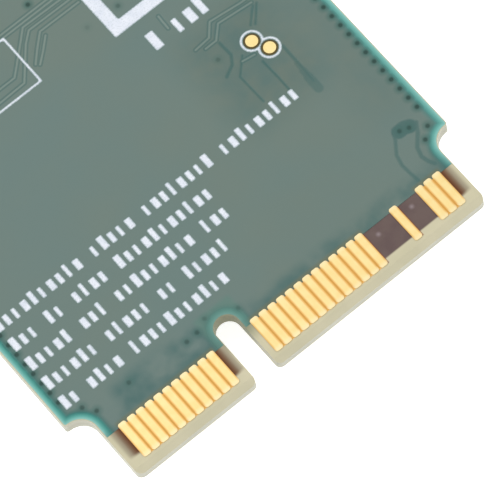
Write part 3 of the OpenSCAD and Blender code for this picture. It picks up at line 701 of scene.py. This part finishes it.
green_paint, tree, shader = new_material("green_paint")
sheet = use_group(tree, patches, main=seen(112, 128, 124), other=seen(116, 128, 121), size=5.0, amount=0.7)
off_copper = maths(tree, "SUBTRACT", 1.0, attribute(tree, "copper"))
colour = sheet["Color"]
for low, high, amount in (((4, -5.5, 0), (8.6, 0.2, 4), 0.7), ((8.6, -9, 0), (11, 15, 4), 0.3)):
    busy = use_group(tree, zone, low=low, high=high, soft=1.3)["Mask"]
    cloud = use_group(tree, patches, main=seen(96, 116, 113), other=seen(108, 120, 113), size=1.2, amount=1.0)
    colour = mixed(tree, scaled(tree, busy, amount), colour, cloud["Color"])
colour = mixed(tree, scaled(tree, attribute(tree, "trace"), 0.3), colour, seen(142, 156, 150))
colour = mixed(tree, scaled(tree, off_copper, 0.65), colour, seen(78, 106, 104))
edge = attribute(tree, "edge")
# The edge colours run from dark teal out to pale mint. The palest stops, at the very edge, are a painted highlight of
# the film's edge lit from the side.
rim = put(tree, "ShaderNodeValToRGB", {"Fac": edge})
for stop, (place, shade) in enumerate(EDGE_COLOURS):
    made = rim.color_ramp.elements[stop] if stop < 2 else rim.color_ramp.elements.new(place)
    made.position, made.color = place, seen(*shade)
at_rim = put(tree, "ShaderNodeMapRange", {"Value": edge, "From Min": 0.34, "From Max": 0.62, 3: 1.0, 4: 0.0})
colour = mixed(tree, at_rim.outputs[0], colour, rim.outputs["Color"])
teal_spots = use_group(tree, patches, main=(0, 0, 0, 1), other=(1, 1, 1, 1), size=1.3, amount=0.8)["Color"]
for low, high in (((-11, -12.9, 0), (11, -11.9, 4)), ((-8.4, -12.4, 0), (-3.4, -10.9, 4))):
    near_tips = use_group(tree, zone, low=low, high=high, soft=0.4)["Mask"]
    colour = mixed(tree, maths(tree, "MULTIPLY", near_tips, teal_spots), colour, seen(88, 112, 110))
for left, right in ((-9.25, -3.75), (-1.75, 4.75), (7.75, 9.25)):
    thin = use_group(tree, zone, low=(left, -13, 0), high=(right, -12.38, 4), soft=0.1)["Mask"]
    colour = mixed(tree, scaled(tree, thin, 0.6), colour, seen(118, 118, 98))
lit_side = use_group(tree, zone, low=(9.6, -12.5, 0), high=(12, 16, 4), soft=0.3)["Mask"]
colour = mixed(tree, maths(tree, "MULTIPLY", lit_side, scaled(tree, at_rim.outputs[0], 0.15)), colour, seen(150, 188, 182))
at_key = use_group(tree, zone, low=(KEY_X - 1, -13, 0), high=(KEY_X + 1, -10.9, 4), soft=0.15)["Mask"]
colour = mixed(tree, scaled(tree, at_key, 0.7), colour, seen(104, 130, 122))
colour = mixed(tree, scaled(tree, attribute(tree, "halo"), 0.6), colour, seen(80, 108, 103))
colour = mixed(tree, scaled(tree, attribute(tree, "via"), 0.8), colour, seen(54, 70, 66, 0.03))
fine = use_group(tree, grain, size=0.05, detail=2.0, depth=0.0006)
tree.links.new(colour, shader.inputs["Base Color"])
tree.links.new(fine["Normal"], shader.inputs["Normal"])
gloss = put(tree, "ShaderNodeMapRange", {"Value": fine["Mask"], 3: 0.36, 4: 0.5}).outputs[0]
tree.links.new(gloss, shader.inputs["Roughness"])
shader.inputs["Specular IOR Level"].default_value = 0.3
print_film.data.materials.append(green_paint)
component_film.data.materials.append(green_paint)
print("material:", green_paint.name)

# %% [markdown]
# ## White ink
# The ink is matt. Where it is thin, at its edges, the paint under it shows, so its colour follows the ink
# mask, and a little noise in the mask gives the ragged edge of a screen print.

# %% Material: white ink
white_ink, tree, shader = new_material("white_ink")
fine = use_group(tree, grain, size=0.08, detail=3.0, depth=0.002)
ragged = put(tree, "ShaderNodeMapRange", {"Value": fine["Mask"], "From Min": 0.3, "From Max": 0.7, 3: -0.25, 4: 0.25})
amount = maths(tree, "ADD", attribute(tree, "ink"), ragged.outputs[0], clamp=True)
body = use_group(tree, patches, main=seen(220, 224, 232), other=seen(207, 213, 223), size=0.5, amount=0.8)
colour = mixed(tree, amount, seen(132, 150, 148), body["Color"])
tree.links.new(colour, shader.inputs["Base Color"])
tree.links.new(fine["Normal"], shader.inputs["Normal"])
shader.inputs["Roughness"].default_value = 0.6
shader.inputs["Specular IOR Level"].default_value = 0.3
white_print.data.materials.append(white_ink)
print("material:", white_ink.name)

# %% [markdown]
# ## Glass-epoxy laminate
# The bare board shows only at the finger end and along its sides. It is cream, and its sides show the layers of glass
# cloth as thin grey bands. Between two gold fingers it takes their colour. Where fingers are left out, the dark layer
# inside shows through. Each of those places is a zone with its own colour. Beside the outer fingers of each row, and on
# the right of two fingers by the dark places, a painted shadow of the raised gold lies on the board.

# %% Material: glass epoxy
GOLD_GAPS = ((2, 22), (32, 56), (70, 74))
DARK_PLACES = ((4.66, 6.34), (6.66, 7.84))
LIGHT_SPOTS = ((5.25, 1.89), (7.21, 1.94))
glass_epoxy, tree, shader = new_material("glass_epoxy")
cream = use_group(tree, patches, main=seen(197, 191, 165), other=seen(189, 184, 158), size=1.5, amount=0.8)
layers = use_group(tree, grain, size=0.2, stretch=(12, 12, 1), detail=2.0, depth=0.002)
bands = put(tree, "ShaderNodeMapRange", {"Value": layers["Mask"], "From Min": 0.35, "From Max": 0.65}).outputs[0]
facing = put(tree, "ShaderNodeSeparateXYZ", {0: put(tree, "ShaderNodeNewGeometry").outputs["Normal"]}).outputs
on_side = maths(tree, "SUBTRACT", 1.0, maths(tree, "ABSOLUTE", facing["Z"]), clamp=True)
side = mixed(tree, scaled(tree, bands, 0.5), seen(184, 183, 169), seen(169, 168, 155))
colour = mixed(tree, on_side, cream["Color"], side)


def tinted(colour, low, high, soft, amount, shade, bottom=2):
    """The colour so far, with this shade in a zone given on the drawing, on the print side alone."""
    corners = [[c / MM for c in in_frame(*corner, 0)[:2]] for corner in (low, high)]
    mask = use_group(tree, zone, low=(*corners[0], bottom), high=(*corners[1], 4), soft=soft)["Mask"]
    return mixed(tree, scaled(tree, mask, amount), colour, shade)


gap_low, gap_high = CONTACT_START + 0.02, MASK_START + 0.1
for first, last in GOLD_GAPS:
    colour = tinted(colour, (pin_x(first), gap_low), (pin_x(last), gap_high), 0.05, 1.0, seen(218, 170, 98))
for left, right in DARK_PLACES:
    shade = use_group(tree, patches, main=seen(113, 101, 98), other=seen(106, 94, 93), size=0.7, amount=0.8)
    colour = tinted(colour, (left, gap_low + 0.25), (right, gap_high), 0.05, 1.0, shade["Color"])
key_left, key_right = KEY_X - KEY_W / 2, KEY_X + KEY_W / 2
colour = tinted(colour, (key_left - 0.2, 1.9), (key_right + 0.5, 4), 0.5, 0.9, seen(138, 140, 120), 1)
# Painted shadow beside the outer fingers of pins 2, 22 and 74: three brown strips that get darker towards the finger.
for pin, way, wider in ((2, -1, 0.02), (22, 1, 0.02), (74, 1, 0.05)):
    edge_x = pin_x(pin) + way * CONTACT_W / 2
    for reach, shade in ((0.48, seen(158, 150, 131)), (0.28, seen(128, 110, 94)), (0.12, seen(110, 82, 62))):
        left, right = sorted((edge_x - way * 0.2, edge_x + way * (reach + wider)))
        colour = tinted(colour, (left, gap_low + 0.35), (right, gap_high + 0.2), 0.12, 1.0, shade)
# A thin painted shadow line on the right of pins 56 and 64.
for pin in (56, 64):
    edge_x = pin_x(pin) + CONTACT_W / 2
    colour = tinted(colour, (edge_x - 0.05, gap_low), (edge_x + 0.04, gap_high), 0.03, 0.8, seen(140, 88, 50))
for x, y in LIGHT_SPOTS:
    colour = tinted(colour, (x - 0.08, y - 0.08), (x + 0.08, y + 0.08), 0.1, 0.5, seen(170, 158, 162))
colour = tinted(colour, (6.3, 11.6), (8.1, 13.8), 0.05, 1.0, seen(104, 96, 76))
tree.links.new(colour, shader.inputs["Base Color"])
tree.links.new(layers["Normal"], shader.inputs["Normal"])
shader.inputs["Roughness"].default_value = 0.55
shader.inputs["Specular IOR Level"].default_value = 0.3
print("material:", glass_epoxy.name)

# %% [markdown]
# ## Metals
# Hard gold on the fingers is smooth but not a mirror. Both ends of each finger, the one that slides into its socket and
# the one by the paint, are painted paler as a painted highlight on their rounded tips, and its long sides are painted
# darker as painted shade. The shield is bright nickel silver with faint rolling lines. Tin is whiter and lumpier. All
# three are the same shader with full Metallic, and differ in colour, grain and roughness.


# %% Materials: gold, sheet and tin
def metal(name, main, other, size, stretch, depth, rough, patch=0.5):
    """A metal with soft colour patches, and a grain that also varies its roughness."""
    made, tree, shader = new_material(name)
    body = use_group(tree, patches, main=main, other=other, size=patch, amount=0.7)["Color"]
    fine = use_group(tree, grain, size=size, stretch=stretch, detail=3.0, depth=depth)
    gloss = put(tree, "ShaderNodeMapRange", {"Value": fine["Mask"], 3: rough[0], 4: rough[1]}).outputs[0]
    tree.links.new(body, shader.inputs["Base Color"])
    tree.links.new(fine["Normal"], shader.inputs["Normal"])
    tree.links.new(gloss, shader.inputs["Roughness"])
    shader.inputs["Metallic"].default_value = 1
    return made


hard_gold = metal(
    "hard_gold_plating", screen(255, 234, 170), screen(252, 226, 154), 0.06, (1, 3, 1), 0.0008, (0.28, 0.42)
)
finger_gold = metal(
    "finger_gold_plating", screen(255, 231, 166), screen(253, 222, 150), 0.06, (1, 3, 1), 0.0008, (0.28, 0.42)
)
tree = finger_gold.node_tree
shader = tree.nodes["Principled BSDF"]
colour = shader.inputs["Base Color"].links[0].from_socket
place = put(tree, "ShaderNodeTexCoord").outputs["Object"]
axes = put(tree, "ShaderNodeSeparateXYZ", {0: place}).outputs
middle_level = (PRINT_LEVEL + COMPONENT_LEVEL) / 2 * MM
half_step = maths(tree, "MULTIPLY", maths(tree, "LESS_THAN", axes["Z"], middle_level), CONTACT_PITCH * MM / 2)
from_middle = maths(tree, "PINGPONG", maths(tree, "ADD", axes["X"], half_step), CONTACT_PITCH * MM / 2)
# Painted shade: each finger turns darker orange towards its long sides, in place of the shade on their rounded edges.
side_shade = put(
    tree, "ShaderNodeMapRange", {"Value": from_middle, 1: 0.11 * MM, 2: 0.21 * MM}, interpolation_type="SMOOTHSTEP"
).outputs[0]  # fmt: skip
colour = mixed(tree, side_shade, colour, screen(236, 188, 110))
# Painted highlight: both ends of each finger are painted paler, where their rounded tips would catch the light.
for low, high in ((CONTACT_START - 0.2, CONTACT_START + 0.16), (CONTACT_END - 0.16, CONTACT_END + 0.2)):
    tip_highlight = use_group(
        tree, zone, low=(-11, low - BOARD_L / 2, 0), high=(11, high - BOARD_L / 2, 4), soft=0.14
    )["Mask"]  # fmt: skip
    colour = mixed(tree, scaled(tree, tip_highlight, 0.6), colour, screen(255, 240, 196))
tree.links.new(colour, shader.inputs["Base Color"])
nickel_sheet = metal(
    "nickel_sheet", screen(208, 206, 201), screen(198, 196, 191), 0.05, (1, 60, 1), 0.0008, (0.3, 0.4), 6
)
bright_tin = metal("bright_tin", screen(214, 216, 218), screen(190, 194, 198), 0.12, (1, 1, 1), 0.004, (0.3, 0.55))
connector_gold = metal(
    "connector_gold_plating", screen(240, 205, 130), screen(226, 186, 106), 0.05, (1, 1, 1), 0.001, (0.2, 0.34)
)
print("metals:", [m.name for m in (hard_gold, nickel_sheet, bright_tin, connector_gold)])

# %% [markdown]
# ## Moulded, fired and cast bodies
# The chips are dark epoxy with a matt, finely pitted skin. Ceramic, ferrite and the connectors' plastic
# differ only in colour, pit size and gloss, so one function makes them all.


# %% Materials: bodies
def body_material(name, main, other, size, depth, rough):
    made, tree, shader = new_material(name)
    body = use_group(tree, patches, main=main, other=other, size=size * 6, amount=0.8)["Color"]
    fine = use_group(tree, grain, size=size, detail=4.0, depth=depth)
    gloss = put(tree, "ShaderNodeMapRange", {"Value": fine["Mask"], 3: rough[0], 4: rough[1]}).outputs[0]
    tree.links.new(body, shader.inputs["Base Color"])
    tree.links.new(fine["Normal"], shader.inputs["Normal"])
    tree.links.new(gloss, shader.inputs["Roughness"])
    return made


chip_mould = body_material("chip_mould_skin", screen(44, 45, 48), screen(56, 57, 60), 0.04, 0.006, (0.55, 0.75))
cream_ceramic = body_material(
    "cream_ceramic", screen(214, 206, 184), screen(200, 190, 166), 0.05, 0.003, (0.35, 0.5)
)
tan_ceramic = body_material("tan_ceramic", screen(150, 118, 86), screen(132, 102, 74), 0.05, 0.003, (0.35, 0.5))
blue_ceramic = body_material("blue_ceramic", screen(96, 124, 150), screen(80, 106, 134), 0.05, 0.003, (0.25, 0.4))
grey_ferrite = body_material("grey_ferrite", screen(66, 66, 68), screen(80, 78, 78), 0.08, 0.008, (0.5, 0.7))
black_glaze = body_material("black_glaze", screen(30, 31, 34), screen(40, 42, 46), 0.04, 0.002, (0.2, 0.35))
ivory_plastic = body_material(
    "ivory_plastic", screen(226, 222, 208), screen(216, 210, 194), 0.06, 0.003, (0.4, 0.55)
)
print("bodies:", len(bpy.data.materials))

# %% [markdown]
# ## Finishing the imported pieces
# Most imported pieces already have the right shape. What they lack is what every stamped, moulded or plated
# edge has: a small radius that catches the light. A Bevel modifier adds it without touching the packed
# vertices, and a Weighted Normal modifier keeps the flat faces flat.


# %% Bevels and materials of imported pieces
def finish(name, material, edge_r, wide=30):
    """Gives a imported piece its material, and rounds its edges by this radius in millimetres."""
    piece = nodes[name]
    piece.data.materials.clear()
    piece.data.materials.append(material)
    bevel = piece.modifiers.new("soft_edges", "BEVEL")
    bevel.width, bevel.segments, bevel.limit_method = edge_r * MM, 2, "ANGLE"
    bevel.angle_limit = math.radians(wide)
    piece.modifiers.new("flat_faces", "WEIGHTED_NORMAL").keep_sharp = True


finish("circuit_board", glass_epoxy, 0.02)
finish("print_side_contacts", finger_gold, 0.012)
finish("component_side_contacts", finger_gold, 0.012)
finish("mounting_land", hard_gold, 0.01)
finish("test_pads", hard_gold, 0.012)
finish("shield_land", bright_tin, 0.01)
finish("shield_frame", nickel_sheet, 0.015)
finish("shield_lid", nickel_sheet, 0.02)
finish("wifi_processor", chip_mould, 0.03)
for side in ("main", "aux"):
    finish("front_end_" + side, chip_mould, 0.02)
    finish(f"antenna_{side}_housing", ivory_plastic, 0.02)
    finish(f"antenna_{side}_shell", connector_gold, 0.015)
    finish(f"antenna_{side}_pin", connector_gold, 0.02)
finish("reference_crystal", nickel_sheet, 0.03)
print("finished:", len([n for n in nodes.values() if n.modifiers]))

# %% [markdown]
# ## Capacitors, resistors and coils
# The small parts are ceramic or ferrite bodies with a tinned cap over each end. Two materials on one part
# need two sets of faces, so these pieces are built here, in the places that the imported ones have: a body
# with softly rounded edges, and a cap on both ends that stands slightly proud of it.


# %% Parts with end caps
def rounded_block(mesh, low, high, radius, material):
    """Adds a block with rounded edges to a bmesh. Its corners are in millimetres on the drawing."""
    low, high = Vector(in_frame(*low)), Vector(in_frame(*high))
    size = high - low
    place = Matrix.Translation((low + high) / 2) @ Matrix.Diagonal((*size, 1))
    made = bmesh.ops.create_cube(mesh, size=1, matrix=place)["verts"]
    edges = list({edge for vertex in made for edge in vertex.link_edges})
    bent = bmesh.ops.bevel(
        mesh, geom=edges, offset=radius * MM, segments=2, profile=0.5, affect="EDGES", clamp_overlap=True
    )  # fmt: skip
    faces = {face for vertex in bent["verts"] for face in vertex.link_faces}
    faces |= {face for vertex in made if vertex.is_valid for face in vertex.link_faces}
    for face in faces:
        face.material_index = material
        face.smooth = True


def capped_parts(name, body, places, size, cap, proud=0.015):
    """Parts with a cap over each end. A place is x, y and True where the part lies along y."""
    length, width, height = size
    made = bmesh.new()
    under = COMPONENT_LEVEL - MASK_T
    for x, y, along_y in places:
        for from_end, to_end, shrink, material in (
            (-length / 2 + cap / 2, length / 2 - cap / 2, proud, 0),
            (-length / 2, -length / 2 + cap, 0, 1),
            (length / 2 - cap, length / 2, 0, 1),
        ):
            half = width / 2 - shrink
            low, high = (x + from_end, y - half), (x + to_end, y + half)
            if along_y:
                low, high = (x - half, y + from_end), (x + half, y + to_end)
            top = under - height + shrink
            rounded_block(made, (*low, top), (*high, under), min(0.03, height / 8), material)
    mesh = bpy.data.meshes.new(name + "_detail")
    made.to_mesh(mesh)
    made.free()
    piece = bpy.data.objects.new(name + "_detail", mesh)
    bpy.context.scene.collection.objects.link(piece)
    piece.modifiers.new("flat_faces", "WEIGHTED_NORMAL")
    mesh.materials.append(body)
    mesh.materials.append(bright_tin)
    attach(piece, "root")
    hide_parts(name)
    print(piece.name, len(places), "parts")


# %% The small parts
SMALL, STEP = (0.6, 0.3, 0.3), 0.8
PROCESSOR_MID, PROCESSOR_SIDE, SMALL_Y = 12.7, 4.3, 7.6
counted = range(-4, 5)
beside_chip = [(side * (PROCESSOR_SIDE + 0.8), PROCESSOR_MID + i * STEP, False) for side in (-1, 1) for i in counted]
capped_parts(
    "decoupling_capacitors", tan_ceramic,
    beside_chip + [(i * STEP, SMALL_Y, True) for i in counted], SMALL, 0.15,
)  # fmt: skip
capped_parts(
    "bulk_capacitors", tan_ceramic,
    [(i * 1.5, 6.55, False) for i in range(-2, 3)], (1, 0.5, 0.5), 0.22,
)  # fmt: skip
capped_parts(
    "resistors", black_glaze,
    [(-6.9 + i * STEP, SMALL_Y - row * 1.1, True) for i in range(-2, 3) for row in (0, 1)],
    (0.6, 0.3, 0.24), 0.15,
)  # fmt: skip
capped_parts(
    "matching_inductors", blue_ceramic,
    [(side * (ANTENNA_X - step * STEP), 24.47, True) for side in (-1, 1) for step in (0, 1)], SMALL, 0.15,
)  # fmt: skip
capped_parts(
    "power_inductors", grey_ferrite, [(6.9, 6.15 + i * 2.1, False) for i in range(3)],
    (2, 1.6, 0.95), 0.4, 0.05,
)  # fmt: skip
for side, name in ((1, "rf_filter_main"), (-1, "rf_filter_aux")):
    capped_parts(name, cream_ceramic, [(side * 8.65, 21.65, False)], (1.6, 0.8, 0.6), 0.3)

# %% [markdown]
# ## The table under the card
# The floor is a white sheet a little below the lid, which the card rests on. It glows faintly, as a light
# table does, so the picture's background stays white and the shadow under the card stays soft.

# %% Floor
white_table, tree, shader = new_material("white_table")
paper = use_group(tree, grain, size=0.4, detail=3.0, depth=0.01)
tree.links.new(paper["Normal"], shader.inputs["Normal"])
shader.inputs["Base Color"].default_value = (0.9, 0.9, 0.9, 1)
shader.inputs["Roughness"].default_value = 0.8
shader.inputs["Emission Color"].default_value = (1, 1, 1, 1)
shader.inputs["Emission Strength"].default_value = 0.7
floor_mesh = bpy.data.meshes.new("table_top")
half = 0.6
floor_mesh.from_pydata([(-half, -half, 0), (half, -half, 0), (half, half, 0), (-half, half, 0)], [], [(0, 1, 2, 3)])
floor_mesh.materials.append(white_table)
floor = bpy.data.objects.new("table_top", floor_mesh)
floor.location.z = -0.00002
bpy.context.scene.collection.objects.link(floor)
print("floor:", 2 * half, "m wide")
